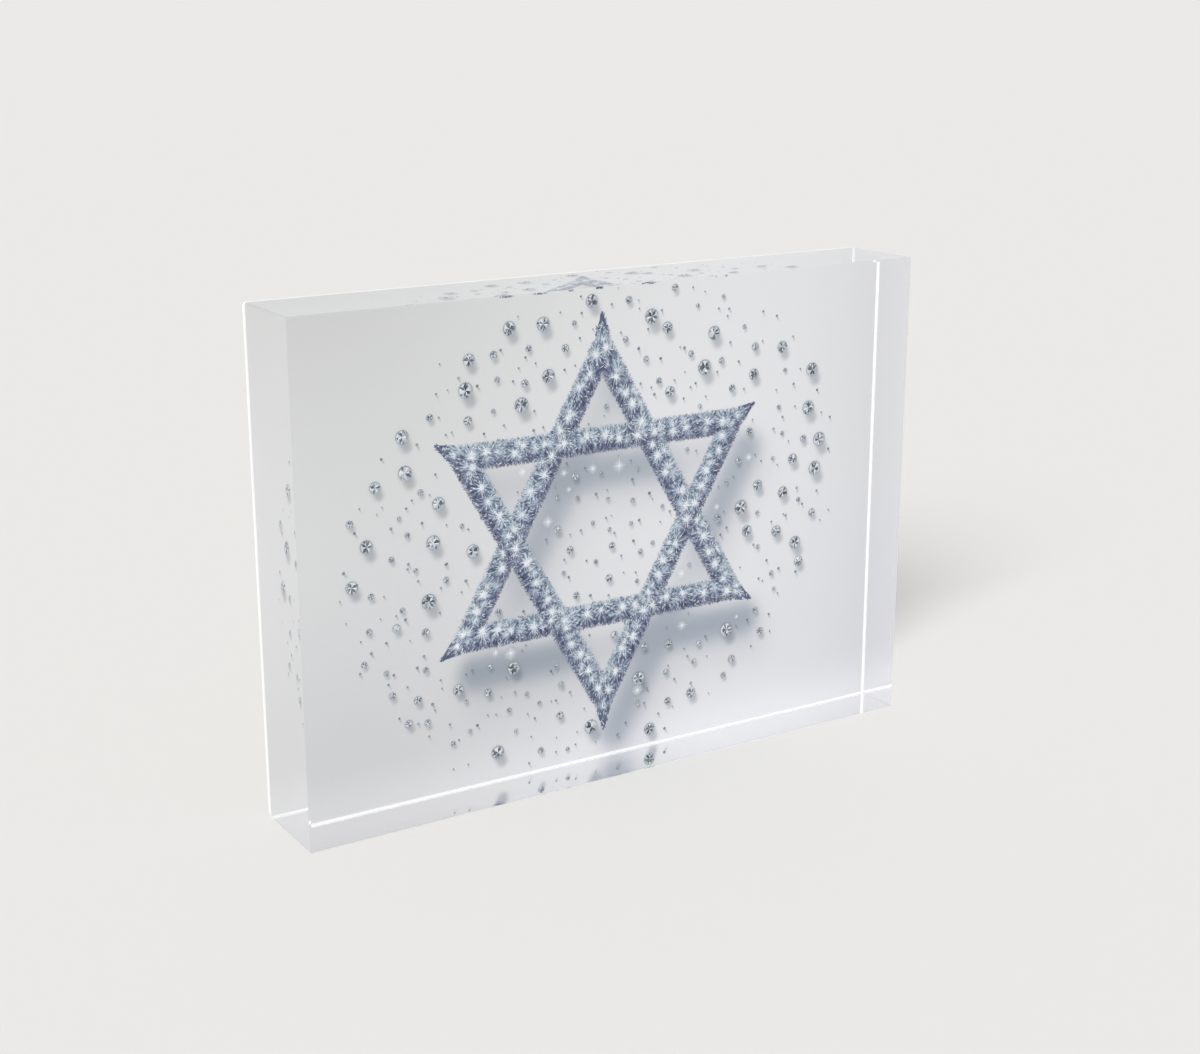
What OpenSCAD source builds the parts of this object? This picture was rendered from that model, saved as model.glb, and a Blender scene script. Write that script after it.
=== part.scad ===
// Clear photo block: a print bonded behind a thick clear block that stands on its own edge.
// X runs along the width, Y from the front face to the back, Z up from the standing face.

/* [Clear block] */
// Width of the block
block_w = 177.8; // [150:0.1:320]
// Height of the block
block_h = 127; // [125:0.1:260]
// Thickness of the block from its front face to its back face
block_t = 24; // [8:0.1:50]
// Leg of the polished 45 degree chamfer on every edge of the block
edge_chamfer = 0.4; // [0.2:0.1:2]

/* [Laminate] */
// Bare margin left round the print on the back face of the block
trim_margin = 0.2; // [0.1:0.1:1.5]
// Thickness of the clear mounting film
film_t = 0.1; // [0.08:0.01:0.3]
// Thickness of the white print sheet
sheet_t = 0.2; // [0.1:0.01:0.6]
// Thickness of the adhesive tape behind the print sheet
tape_t = 0.1; // [0.05:0.01:0.3]
// Thickness of the white backing panel
panel_t = 1; // [0.5:0.1:4]
// Radius of the rounded corners of the backing panel
panel_corner_r = 1.2; // [0.5:0.1:6]
// Bevel round the rear edge of the backing panel
panel_bevel = 0.3; // [0.1:0.05:0.4]

/* [Printed picture] */
// Shift of the whole picture on the print, to the right
picture_right = 1.1; // [-3:0.1:3]
// Shift of the whole picture on the print, upwards
picture_up = -0.8; // [-3:0.1:3]

/* [Printed star] */
// Thickness of the ink, which the mounting film closes over
ink_t = 0.04; // [0.01:0.01:0.06]
// Distance from the middle of the star to its points
star_r = 53.2; // [30:0.1:58]
// Width of the bands that make the star
star_band = 6.9; // [2:0.1:10]

/* [Printed stones] */
// Length of the oval field that the stones are strewn over
field_w = 148; // [60:1:300]
// Height of the oval field
field_h = 122; // [60:1:240]
// Tilt of the oval field, in degrees, up towards the right
field_tilt = 18; // [-90:1:90]
// Number of places in the field that may hold a stone
stone_places = 225; // [20:1:300]
// Diameter of the largest full-size stone
stone_d_max = 4.2; // [3.4:0.1:5]
// Diameter of the smallest full-size stone
stone_d = 2.9; // [2.6:0.1:4]
// Diameter of the largest chip
chip_d_max = 2.4; // [1.6:0.1:3.2]
// Diameter of the smallest chip
chip_d = 1.2; // [0.6:0.1:2]
// On average one place in this many may hold a full-size stone, and the rest hold chips
places_per_stone = 3; // [2:1:8]
// Radius round the middle of the star that holds only chips
chips_only_r = 22; // [0:1:60]
// Farthest that a stone strays from its place in each direction
stray = 2; // [0:0.1:2.5]
// Clear space between a stone and the star or the edge of the print
stone_gap = 0.6; // [0.2:0.1:4]

/* [Hidden] */
$fn = 48;

// Places of the layers, from the front face to the back
total_t = block_t + film_t + sheet_t + tape_t + panel_t;
front_y = -total_t / 2;
film_y = front_y + block_t;
sheet_y = film_y + film_t;
ink_y = sheet_y - ink_t;
tape_y = sheet_y + sheet_t;
panel_y = tape_y + tape_t;

// Outline that the film, the print and the tape are trimmed to, inside the chamfer of the block
print_w = block_w - 2 * (edge_chamfer + trim_margin);
print_h = block_h - 2 * (edge_chamfer + trim_margin);

// The golden angle spreads the places of the stones evenly, and the power draws them in to the middle
golden_angle = 180 * (3 - sqrt(5));
field_power = 0.52;

// Rate of the sine that scatters the stones, and its square makes the sine steep
hash_rate = 78.233;

// A repeatable number from 0 to 1 for one place: the fraction of a steep sine
function scatter(place, quantity) =
    let (steep = sin(place * hash_rate + quantity * golden_angle) * pow(hash_rate, 2))
    steep - floor(steep);

// Middle of one place: a sunflower spiral over the tilted oval field, strayed both ways
function place_at(i) =
    let (
        reach = pow((i + 0.5) / stone_places, field_power) / 2,
        along = field_w * reach * cos(i * golden_angle),
        across = field_h * reach * sin(i * golden_angle)
    )
    [
        along * cos(field_tilt) - across * sin(field_tilt) + stray * (2 * scatter(i, 1) - 1),
        along * sin(field_tilt) + across * cos(field_tilt) + stray * (2 * scatter(i, 2) - 1),
    ];

// Diameter at one place: a full-size stone or one of the chips, which are mostly small
function size_at(i, p) =
    scatter(i, 4) * places_per_stone < 1 && norm(p) > chips_only_r
        ? stone_d + (stone_d_max - stone_d) * scatter(i, 3)
        : chip_d + (chip_d_max - chip_d) * pow(scatter(i, 3), 2);

// How far a point lies outside an upright triangle of the given inner radius, along its nearest side
function past_triangle(p, inner_r) =
    max([for (side = [30, 150, 270]) p.x * cos(side) + p.y * sin(side)]) - inner_r;

// Distance from a point to the middle line of one triangular band, less half the band
function past_band(p) =
    abs(past_triangle(p, (star_r - star_band) / 2)) - star_band / 2;

// True where a stone lies wholly on the print and clear of both triangles of the star
function stone_fits(p, d) =
    let (room = d / 2 + stone_gap)
    abs(p.x + picture_right) + room < print_w / 2
    && abs(p.y + picture_up) + room < print_h / 2
    && past_band(p) > room
    && past_band([p.x, -p.y]) > room;

// Stones that are printed, each as its middle and its diameter
stones = [
    for (i = [0 : stone_places - 1])
        let (p = place_at(i), d = size_at(i, p))
        if (stone_fits(p, d)) [p, d]
];

// Rectangle with its corners cut off at 45 degrees
module cut_corner_rectangle(w, h, cut) {
    polygon([
        for (corner = [[1, 1], [-1, 1], [-1, -1], [1, -1]])
            let (flip = corner.x * corner.y)
            for (near_end = flip > 0 ? [1, 0] : [0, 1])
                [
                    corner.x * (w / 2 - cut * (1 - near_end)),
                    corner.y * (h / 2 - cut * near_end),
                ]
    ]);
}

// Box with every edge cut at 45 degrees, common to three prisms along the three axes
module chamfered_box(size, cut) {
    intersection() {
        linear_extrude(size.z, center = true)
            cut_corner_rectangle(size.x, size.y, cut);
        rotate([90, 0, 0])
            linear_extrude(size.y, center = true)
                cut_corner_rectangle(size.x, size.z, cut);
        rotate([90, 0, 90])
            linear_extrude(size.x, center = true)
                cut_corner_rectangle(size.y, size.z, cut);
    }
}

// Stands a flat outline up as a layer behind the front face
module layer(y, thickness) {
    translate([0, y + thickness, block_h / 2])
        rotate([90, 0, 0])
            linear_extrude(thickness)
                children();
}

// Outline of the film, the print sheet and the tape
module print_outline() {
    square([print_w, print_h], center = true);
}

// Straight bar along X that lies on the plane Z = 0, with its two upper long edges beveled
module beveled_bar(length, w, t, bevel) {
    rotate([90, 0, 90])
        linear_extrude(length, center = true)
            polygon([
                [-w / 2, 0],
                [w / 2, 0],
                [w / 2, t - bevel],
                [w / 2 - bevel, t],
                [bevel - w / 2, t],
                [-w / 2, t - bevel],
            ]);
}

// Plate on the plane Z = 0 with round corners, and one bevel all round its upper edge
module beveled_plate(w, h, t, r, bevel) {
    beveled_bar(w - 2 * r, h, t, bevel);
    rotate(90) beveled_bar(h - 2 * r, w, t, bevel);
    for (x = [-1, 1], y = [-1, 1])
        translate([x * (w / 2 - r), y * (h / 2 - r), 0]) {
            cylinder(t - bevel, r = r);
            translate([0, 0, t - bevel])
                cylinder(bevel, r, r - bevel);
        }
}

// Triangular band of one width, measured square to its sides, with its first point along X
module triangle_band(r, band) {
    difference() {
        circle(r, $fn = 3);
        circle(r - 2 * band, $fn = 3);
    }
}

// Six-pointed star of two crossed triangular bands, cropped by the edge of the print
module star_outline() {
    intersection() {
        translate([picture_right, picture_up]) {
            rotate(90) triangle_band(star_r, star_band);
            rotate(270) triangle_band(star_r, star_band);
        }
        print_outline();
    }
}

// All the printed stones
module stones_outline() {
    translate([picture_right, picture_up])
        for (stone = stones)
            translate(stone[0])
                circle(d = stone[1]);
}

// Thick clear block, polished and chamfered all round
module acrylic_block() {
    color([0.90, 0.93, 0.95, 0.35])
        translate([0, front_y + block_t / 2, block_h / 2])
            chamfered_box([block_w, block_t, block_h], edge_chamfer);
}

// Clear film that bonds the print to the block and closes over the ink
module mounting_film() {
    color([0.95, 0.96, 0.97, 0.35]) {
        layer(film_y, film_t - ink_t)
            print_outline();
        layer(ink_y, ink_t)
            difference() {
                print_outline();
                star_outline();
                stones_outline();
            }
    }
}

// Ink of the six-pointed star
module star_ink() {
    color([0.38, 0.43, 0.53])
        layer(ink_y, ink_t)
            star_outline();
}

// Ink of the strewn stones
module stone_ink() {
    color([0.62, 0.66, 0.72])
        layer(ink_y, ink_t)
            stones_outline();
}

// White sheet that carries the ink
module print_sheet() {
    color([0.88, 0.88, 0.90])
        layer(sheet_y, sheet_t)
            print_outline();
}

// Adhesive layer between the print sheet and the backing panel
module backing_tape() {
    color([0.86, 0.85, 0.80])
        layer(tape_y, tape_t)
            print_outline();
}

// White panel that closes the back, as large as the block, with round corners and a beveled rear edge
module backing_panel() {
    color([0.95, 0.95, 0.95])
        translate([0, panel_y, block_h / 2])
            rotate([-90, 0, 0])
                beveled_plate(block_w, block_h, panel_t, panel_corner_r, panel_bevel);
}

acrylic_block();
mounting_film();
star_ink();
stone_ink();
print_sheet();
backing_tape();
backing_panel();
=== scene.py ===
"""Clear photo block: a thick clear block with a printed star behind it, dressed round its CAD frame."""

import math
from typing import NamedTuple

import bmesh
import bpy
import numpy as np
from bpy.props import FloatProperty, FloatVectorProperty, IntProperty, PointerProperty
from bpy.types import Operator, Panel, PropertyGroup
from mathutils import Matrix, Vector


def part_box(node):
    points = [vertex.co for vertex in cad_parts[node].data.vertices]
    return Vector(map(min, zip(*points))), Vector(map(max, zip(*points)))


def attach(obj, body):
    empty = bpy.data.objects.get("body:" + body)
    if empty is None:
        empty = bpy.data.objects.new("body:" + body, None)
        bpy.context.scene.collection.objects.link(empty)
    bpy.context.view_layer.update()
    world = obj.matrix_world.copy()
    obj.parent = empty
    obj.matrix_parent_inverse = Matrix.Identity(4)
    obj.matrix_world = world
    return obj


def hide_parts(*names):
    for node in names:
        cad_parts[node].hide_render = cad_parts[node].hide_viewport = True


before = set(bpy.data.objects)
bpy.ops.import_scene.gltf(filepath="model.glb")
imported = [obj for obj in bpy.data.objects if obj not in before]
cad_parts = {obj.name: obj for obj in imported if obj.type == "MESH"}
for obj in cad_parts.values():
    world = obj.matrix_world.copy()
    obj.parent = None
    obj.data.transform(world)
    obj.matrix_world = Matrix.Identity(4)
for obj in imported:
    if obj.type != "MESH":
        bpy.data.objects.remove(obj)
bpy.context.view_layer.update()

bl_info = {
    "name": "Clear photo block",
    "version": (1, 0, 0),
    "blender": (4, 5, 0),
    "location": "3D View > Sidebar > Photo Block",
    "description": "Builds a clear photo block with a printed star and strewn stones",
    "category": "Add Mesh",
}

MM = 0.001
INK_COLOUR = "ink"

# Boxes of the CAD nodes, and from them the star's reach and the middle that the picture is measured from
BLOCK_LOW, BLOCK_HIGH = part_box("acrylic_block")
SHEET_LOW, SHEET_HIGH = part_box("print_sheet")
STAR_LOW, STAR_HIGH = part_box("star_ink")
STAR_REACH = (STAR_HIGH.z - STAR_LOW.z) / 2
MIDDLE_Z = (BLOCK_LOW.z + BLOCK_HIGH.z) / 2
MIDDLE = np.array([(STAR_LOW.x + STAR_HIGH.x) / 2, (STAR_LOW.z + STAR_HIGH.z) / 2])
PRINT_LOW = np.array([SHEET_LOW.x, SHEET_LOW.z]) - MIDDLE
PRINT_HIGH = np.array([SHEET_HIGH.x, SHEET_HIGH.z]) - MIDDLE

# Outward turns of the star's six sides, the upright triangle's three first, and of its six points
UPRIGHT_SIDES = np.radians((30.0, 150.0, 270.0))
STAR_SIDES = np.concatenate([UPRIGHT_SIDES, -UPRIGHT_SIDES])
POINT_TURNS = np.radians(np.arange(30.0, 390.0, 60.0))

# Half a side of a triangle, as a multiple of its inner radius
HALF_SIDE = math.sqrt(3)

# Spiral and hash that strew the stones, as in the CAD part
GOLDEN_ANGLE = math.pi * (3 - math.sqrt(5))
FIELD_POWER = 0.52
HASH_RATE = 78.233

# Slope and cubic share of the hyperbolic tangent that follows the area under a bell curve
BELL_SLOPE = 0.7988
BELL_CUBIC = 0.04417

# Finishes of the clear block, in the order of its materials
POLISHED, GROUND, HAZY = range(3)

# Points of a printed facet, numbered from its tail to its ridge, and the height of that ridge
ROOF_POINTS = 5
TAIL, RIDGE = 0, 4
RIDGE_HEIGHT = 0.006 * MM

# Where the star's facets are widest, as a share of their reach
WIDEST_AT = 0.2


def length(name, description, default):
    """A length in metres that the sidebar shows in the scene's unit."""
    return FloatProperty(
        name=name,
        description=description,
        default=default,
        precision=5,
        subtype="DISTANCE",
        unit="LENGTH",
    )


def angle(name, description, degrees):
    """An angle, given in degrees, that the sidebar shows in the scene's unit."""
    return FloatProperty(
        name=name,
        description=description,
        default=math.radians(degrees),
        subtype="ANGLE",
        unit="ROTATION",
    )


def colour(name, description, default):
    """A linear colour with a swatch in the sidebar."""
    return FloatVectorProperty(
        name=name,
        description=description,
        default=default,
        min=0.0,
        max=1.0,
        size=3,
        subtype="COLOR",
    )


def channels(name, description, default):
    """Three numbers, for red, green and blue."""
    return FloatVectorProperty(name=name, description=description, default=default, size=3)


def share(name, description, default):
    """A number from 0 to 1."""
    return FloatProperty(
        name=name,
        description=description,
        default=default,
        min=0.0,
        max=1.0,
        subtype="FACTOR",
    )


def amount(name, description, default):
    """A number from 0 upwards."""
    return FloatProperty(name=name, description=description, default=default, min=0.0)


def count(name, description, default, least, most):
    """A whole number between two limits."""
    return IntProperty(name=name, description=description, default=default, min=least, max=most)


class ClearBlockLook(PropertyGroup):
    """Sizes and finish of the clear block."""

    chamfer: length("Chamfer", "Leg of the 45 degree chamfer on every edge", 0.4 * MM)
    bond_depth: length(
        "Bond depth",
        "How far the clear body reaches into the print, so that no air lies between them",
        0.01 * MM,
    )
    index: FloatProperty(
        name="Refractive index",
        description="Refractive index of cast acrylic",
        default=1.49,
        min=1.0,
        max=2.0,
    )
    tint: colour("Tint", "Faint cold tint of the clear sheet", (0.985, 0.99, 1.0))
    arris_roughness: share(
        "Arris roughness", "Roughness of the ground chamfers and margin round the back", 0.22
    )
    side_haze: share("Side haze", "Share of light that the left face scatters", 0.08)


class PrintLook(PropertyGroup):
    """Colours and shadows of the printed ground."""

    grid_step: length("Grid step", "Spacing of the printed colour samples", 0.5 * MM)
    ground: colour("Ground", "Colour in the middle of the print", (0.721, 0.726, 0.744))
    drift: share("Drift", "Gain in brightness from the left half to the right", 0.145)
    fall_aside: share("Fall aside", "Loss of brightness towards the left and right edges", 0.063)
    fall_left: share("Fall left", "Loss of brightness towards the two corners on the left", 0.11)
    fall_down: share("Fall down", "Loss of brightness from the middle to the lower edge", 0.05)
    low_glow: share("Low glow", "Gain in brightness along the lower edge", 0.135)
    low_glow_reach: length("Low glow reach", "How far up that glow reaches", 9.0 * MM)
    cool: share("Cool", "Gain in blue towards the lower right", 0.012)
    shadow: colour(
        "Star shadow", "What the star's shadow leaves of the ground", (0.465, 0.512, 0.58)
    )
    point_shadow: share(
        "Shadow in the points", "Share of the shadow left in the star's small triangles", 0.33
    )
    inner_shadow: share(
        "Shadow in the hexagon", "Share of the shadow left inside the star", 0.9
    )
    shadow_right: length("Shadow right", "Star shadow's shift to the right", 3.6 * MM)
    shadow_down: length("Shadow down", "Star shadow's shift downwards", 8.8 * MM)
    shadow_band: length("Shadow band", "Width of the bars of the star's shadow", 9.4 * MM)
    shadow_inset: length("Shadow inset", "How far the shadow's points are drawn in", 5.8 * MM)
    shadow_blur: length("Shadow blur", "Spread of the star shadow's edge", 2.0 * MM)
    halo_blur: length("Halo blur", "Spread of the fainter shadow beyond it", 4.0 * MM)
    halo_far: amount(
        "Halo shift", "Shift of that fainter shadow, as a multiple of the shadow's own", 1.74
    )
    halo: share("Halo", "Share of the shadow's depth in that fainter shadow", 0.29)
    stone_shadow: share("Stone shadow", "Depth of the shadows under the stones", 0.5)
    stone_shadow_lean: channels(
        "Stone shadow lean",
        "Powers of the stones' shadows in red, green and blue, which turn them blue",
        (1.06, 1.0, 0.92),
    )
    back_white: colour("Sheet back", "Colour of the bare sheet", (0.86, 0.86, 0.85))


class StarLook(PropertyGroup):
    """Sizes and colours of the printed star."""

    band: length("Band", "Width of the star's bands", 6.9 * MM)
    grid_step: length("Grid step", "Spacing of the crystals' colour samples", 0.25 * MM)
    edge_step: length("Edge step", "Spacing of the spines along the edges", 0.27 * MM)
    shards: count("Shards", "Thin facets over all the bands", 5200, 0, 16000)
    domes: count("Domes a side", "Pale round bursts along each side of each triangle", 22, 0, 40)
    sparkles: count("Sparkles a side", "White sparkles along each side of each triangle", 15, 1, 60)
    point_glow: length("Point glow", "From the star's points to the pale burst in each", 4.4 * MM)
    navy: colour("Navy", "Darkest ink", (0.033, 0.042, 0.09))
    slate: colour("Slate", "Middle ink", (0.135, 0.167, 0.27))
    pale: colour("Pale", "Pale ink", (0.41, 0.495, 0.585))
    white: colour("White", "Lightest ink", (0.87, 0.895, 0.915))
    lean: channels(
        "Lean",
        "Shift of the dark inks' red, green and blue from mid-band to its lower edge",
        (0.06, -0.03, 0.02),
    )


class StoneLook(PropertyGroup):
    """Places, sizes and colours of the printed stones, with places and sizes as in the CAD part."""

    field_w: length("Field length", "Length of the oval field of stones", 148 * MM)
    field_h: length("Field height", "Height of the oval field", 122 * MM)
    field_tilt: angle("Field tilt", "Tilt of the oval field, up towards the right", 18)
    places: count("Places", "Places in the field that may hold a stone", 225, 1, 300)
    stone_d_max: length("Largest stone", "Largest full-size diameter", 4.2 * MM)
    stone_d: length("Smallest stone", "Smallest full-size diameter", 2.9 * MM)
    chip_d_max: length("Largest chip", "Largest chip diameter", 2.4 * MM)
    chip_d: length("Smallest chip", "Smallest chip diameter", 1.2 * MM)
    places_per_stone: count(
        "Places a stone", "On average one place in this many may hold a full-size stone", 3, 2, 8
    )
    chips_only_r: length("Chips only", "Radius that holds only chips", 22 * MM)
    stray: length("Stray", "Farthest that a stone strays from its place", 2.0 * MM)
    gap: length("Gap", "Clear space round each stone", 0.6 * MM)
    dark: colour("Dark facet", "Darkest facet", (0.018, 0.026, 0.04))
    grey: colour("Grey facet", "Middle facet", (0.27, 0.32, 0.38))
    light: colour("Light facet", "Lightest facet", (0.82, 0.84, 0.86))


class DustLook(PropertyGroup):
    """Fine specks between the stones, and white glints round the star."""

    specks: count("Specks", "Places for specks", 400, 0, 2000)
    speck_d: length("Smallest speck", "Smallest diameter", 0.5 * MM)
    speck_d_max: length("Largest speck", "Largest diameter", 1.05 * MM)
    glints: count("Glints", "Places for white glints", 28, 0, 60)


class BackLook(PropertyGroup):
    """Colours of the layers behind the print."""

    tape: colour("Tape", "Colour of the adhesive tape", (0.78, 0.76, 0.69))
    panel: colour("Panel", "Colour of the backing panel", (0.92, 0.92, 0.91))


class StageLook(PropertyGroup):
    """Floor, light and camera."""

    floor: colour("Floor", "Plain pale floor", (0.81, 0.8, 0.78))
    sky: colour("Surround", "What polished faces mirror", (0.8, 0.805, 0.81))
    fill: amount("Fill", "Strength of the even light", 0.635)
    key: amount("Key", "Strength of the soft sun", 2.12)
    key_spread: angle(
        "Key spread", "Angle that the soft sun fills, which softens the shadow", 24
    )
    azimuth: angle("Azimuth", "Camera's turn round the block", -32.26)
    elevation: angle("Elevation", "Camera's height above the horizon", 15.92)
    distance: length("Distance", "From the camera to the block", 479.8 * MM)
    lens: FloatProperty(
        name="Lens",
        description="Focal length on a 36 mm wide sensor",
        default=56.5,
        min=1.0,
        subtype="DISTANCE_CAMERA",
        unit="CAMERA",
    )


def repeatable(place, quantity):
    """A number from 0 to 1 for each place: the fraction of a steep sine, as in the CAD part."""
    turn = np.radians(place * HASH_RATE) + quantity * GOLDEN_ANGLE
    steep = np.sin(turn) * HASH_RATE**2
    return steep - np.floor(steep)


def lengths(draw, span, number):
    """That many lengths, drawn evenly from a span in millimetres."""
    return draw.uniform(*span, number) * MM


def pointing(turns):
    """Unit vectors that point along the given turns."""
    return np.stack([np.cos(turns), np.sin(turns)], -1)


def quarter_turned(vectors):
    """The vectors turned to the left by a quarter of a turn."""
    return np.stack([-vectors[..., 1], vectors[..., 0]], -1)


def turn_of(vectors):
    """The turn that each vector points along."""
    return np.arctan2(vectors[:, 1], vectors[:, 0])


def distances(points, middles):
    """Distance from every point to every middle."""
    return np.hypot(points[:, :1] - middles[:, 0], points[:, 1:] - middles[:, 1])


def reach_of(points, sides):
    """Distance of each point along the outward direction of each side."""
    return points[:, :1] * np.cos(sides) + points[:, 1:] * np.sin(sides)


def mirrored(points):
    """The points turned over top to bottom, which turns one triangle of the star into the other."""
    return points * (1.0, -1.0)


def side_length(band):
    """Length of one of the star's six sides along the middle of its band."""
    return HALF_SIDE * (STAR_REACH - band)


def off_mid_line(points, band):
    """Largest reach over the three sides of an upright triangle, less the reach of its band's middle."""
    return reach_of(points, UPRIGHT_SIDES).max(1) - (STAR_REACH - band) / 2


def past_star(points, band):
    """How far a point lies outside the nearer of the two triangular bands."""
    up = np.abs(off_mid_line(points, band))
    down = np.abs(off_mid_line(mirrored(points), band))
    return np.minimum(up, down) - band / 2


def triangles_round(points, band):
    """How many of the star's two triangles go round each point: two in its hexagon, and one in its
    points."""
    up = off_mid_line(points, band) < 0
    down = off_mid_line(mirrored(points), band) < 0
    return up.astype(int) + down


def bell_sum(x):
    """Area under the bell curve left of x, by a cubic inside a hyperbolic tangent."""
    return 0.5 * (1 + np.tanh(BELL_SLOPE * x * (1 + BELL_CUBIC * x**2)))


def soft_star(points, shares, middle, band, blur):
    """How much blurred round-ended bars along the star's six sides cover each point: for each bar its
    share of the bell sum of its half width less the distance to its middle line, and the bars laid
    over each other."""
    bare = 1.0
    for turn, part in zip(STAR_SIDES, shares.T):
        out = points @ (math.cos(turn), math.sin(turn)) - middle
        along = np.abs(points @ (-math.sin(turn), math.cos(turn)))
        gap = np.hypot(out, np.maximum(along - HALF_SIDE * middle, 0))
        bare = bare * (1 - part * bell_sum((band / 2 - gap) / blur))
    return 1 - bare


def on_print(points, room):
    """True where a point lies on the print with that much room round it."""
    low = points - PRINT_LOW > np.reshape(room, (-1, 1))
    high = PRINT_HIGH - points > np.reshape(room, (-1, 1))
    return (low & high).all(1)


def sunflower(field, number, swell=1.0, start=0.0):
    """Places on a sunflower spiral over the tilted oval field: each lies the golden angle on from the
    one before it, at a reach that grows as a power of its number."""
    i = np.arange(number)
    reach = ((i + 0.5) / number) ** FIELD_POWER / 2
    turn = i * GOLDEN_ANGLE + start
    along = field.field_w * swell * reach * np.cos(turn)
    across = field.field_h * swell * reach * np.sin(turn)
    tilt = field.field_tilt
    x = along * math.cos(tilt) - across * math.sin(tilt)
    z = along * math.sin(tilt) + across * math.cos(tilt)
    return np.stack([x, z], 1)


def stone_layout(scene):
    """Middles, diameters and numbers of the stones: places on a sunflower spiral, strayed both ways,
    keeping those that lie on the print and clear of the star."""
    look = scene.stone_look
    i = np.arange(look.places)
    points = sunflower(look, look.places)
    points[:, 0] += look.stray * (2 * repeatable(i, 1) - 1)
    points[:, 1] += look.stray * (2 * repeatable(i, 2) - 1)
    chance = repeatable(i, 3)
    full = repeatable(i, 4) * look.places_per_stone < 1
    full = full & (np.hypot(*points.T) > look.chips_only_r)
    stone = look.stone_d + (look.stone_d_max - look.stone_d) * chance
    chip = look.chip_d + (look.chip_d_max - look.chip_d) * chance**2
    d = np.where(full, stone, chip)
    room = d / 2 + look.gap
    kept = (past_star(points, scene.star_look.band) > room) & on_print(points, room)
    return points[kept], d[kept], i[kept]


def past_picture(points, scene):
    """How far each point lies outside both the star and the nearest stone."""
    middles, d, _ = stone_layout(scene)
    past_stones = (distances(points, middles) - d / 2).min(1)
    return np.minimum(past_stones, past_star(points, scene.star_look.band))


def standing(points, y):
    """Points of the picture plane, measured from the star's middle, as places in the frame."""
    flat = np.broadcast_to(np.asarray(y, float), points.shape[:-1])
    return np.stack([points[..., 0] + MIDDLE[0], flat, points[..., 1] + MIDDLE[1]], -1)


def require_closed(mesh):
    """Stops the build where an edge doesn't lie between exactly two faces."""
    ends = np.empty(len(mesh.loops), np.int32)
    mesh.loops.foreach_get("edge_index", ends)
    if len(ends) and np.any(np.bincount(ends, minlength=len(mesh.edges)) != 2):
        raise RuntimeError(f"{mesh.name} isn't closed")


def hang(mesh, materials, slot, stands_for):
    """Makes one piece at the origin of a closed mesh, and hangs it on the frame."""
    require_closed(mesh)
    for material in materials:
        mesh.materials.append(material)
    piece = bpy.data.objects.new(mesh.name, mesh)
    bpy.context.scene.collection.objects.link(piece)
    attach(piece, "root")
    if stands_for:
        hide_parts(*stands_for)


def add_inked(name, places, faces, colours, material, slot, stands_for=()):
    """Makes one printed piece, with one ink colour for each vertex."""
    mesh = bpy.data.meshes.new(name)
    mesh.from_pydata(places.tolist(), [], faces)
    mesh.update()
    rgba = np.concatenate([colours, np.ones((len(colours), 1))], 1)
    layer = mesh.color_attributes.new(INK_COLOUR, "FLOAT_COLOR", "POINT")
    layer.data.foreach_set("color", rgba.astype(np.float32).ravel())
    hang(mesh, (material,), slot, stands_for)


def blend_inks(tone, inks):
    """Colours for tones from 0 to 1, by straight lines through the given inks, dark to light."""
    stops = np.linspace(0, 1, len(inks))
    table = np.array([tuple(ink) for ink in inks])
    return np.stack([np.interp(tone, stops, channel) for channel in table.T], -1)


def new_material(name):
    """A new node material, with its node tree and its shader."""
    material = bpy.data.materials.new(name)
    material.use_nodes = True
    tree = material.node_tree
    return material, tree, tree.nodes["Principled BSDF"]


def add_node(tree, kind, values=(), **settings):
    """Adds a node, with its settings and the values of its sockets."""
    item = tree.nodes.new(kind)
    for name, value in settings.items():
        setattr(item, name, value)
    for socket, value in dict(values).items():
        item.inputs[socket].default_value = value
    return item


def object_noise(tree, scale, detail=3.0):
    """A noise on Object coordinates, with scale in cells a metre."""
    where = add_node(tree, "ShaderNodeTexCoord")
    noise = add_node(tree, "ShaderNodeTexNoise", {"Scale": scale, "Detail": detail})
    tree.links.new(where.outputs["Object"], noise.inputs["Vector"])
    return noise.outputs["Fac"]


def tone_range(tree, value, low, high):
    """Maps a value from 0 to 1 onto a range."""
    ranged = add_node(tree, "ShaderNodeMapRange", {"To Min": low, "To Max": high})
    tree.links.new(value, ranged.inputs["Value"])
    return ranged.outputs["Result"]


def shade_by(tree, shader, level):
    """Multiplies the shader's colour by a level, and gives the socket that takes the plain colour."""
    mix = add_node(tree, "ShaderNodeMix", {"Factor": 1.0}, data_type="RGBA", blend_type="MULTIPLY")
    tree.links.new(level, mix.inputs["B"])
    tree.links.new(mix.outputs["Result"], shader.inputs["Base Color"])
    return mix.inputs["A"]


def fine_bump(tree, shader, height, strength, distance):
    """Raises the shader's normal by a height pattern."""
    bump = add_node(tree, "ShaderNodeBump", {"Strength": strength, "Distance": distance})
    tree.links.new(height, bump.inputs["Height"])
    tree.links.new(bump.outputs["Normal"], shader.inputs["Normal"])


def mix_by_ray(tree, kinds, others, theirs, output):
    """Gives rays of the named kinds a shader of their own, and all others another one."""
    path = add_node(tree, "ShaderNodeLightPath")
    found = path.outputs[kinds[0]]
    for kind in kinds[1:]:
        either = add_node(tree, "ShaderNodeMath", operation="MAXIMUM")
        tree.links.new(found, either.inputs[0])
        tree.links.new(path.outputs[kind], either.inputs[1])
        found = either.outputs[0]
    mix = add_node(tree, "ShaderNodeMixShader")
    tree.links.new(found, mix.inputs["Fac"])
    tree.links.new(others, mix.inputs[1])
    tree.links.new(theirs, mix.inputs[2])
    tree.links.new(mix.outputs["Shader"], tree.nodes[output].inputs["Surface"])


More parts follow.
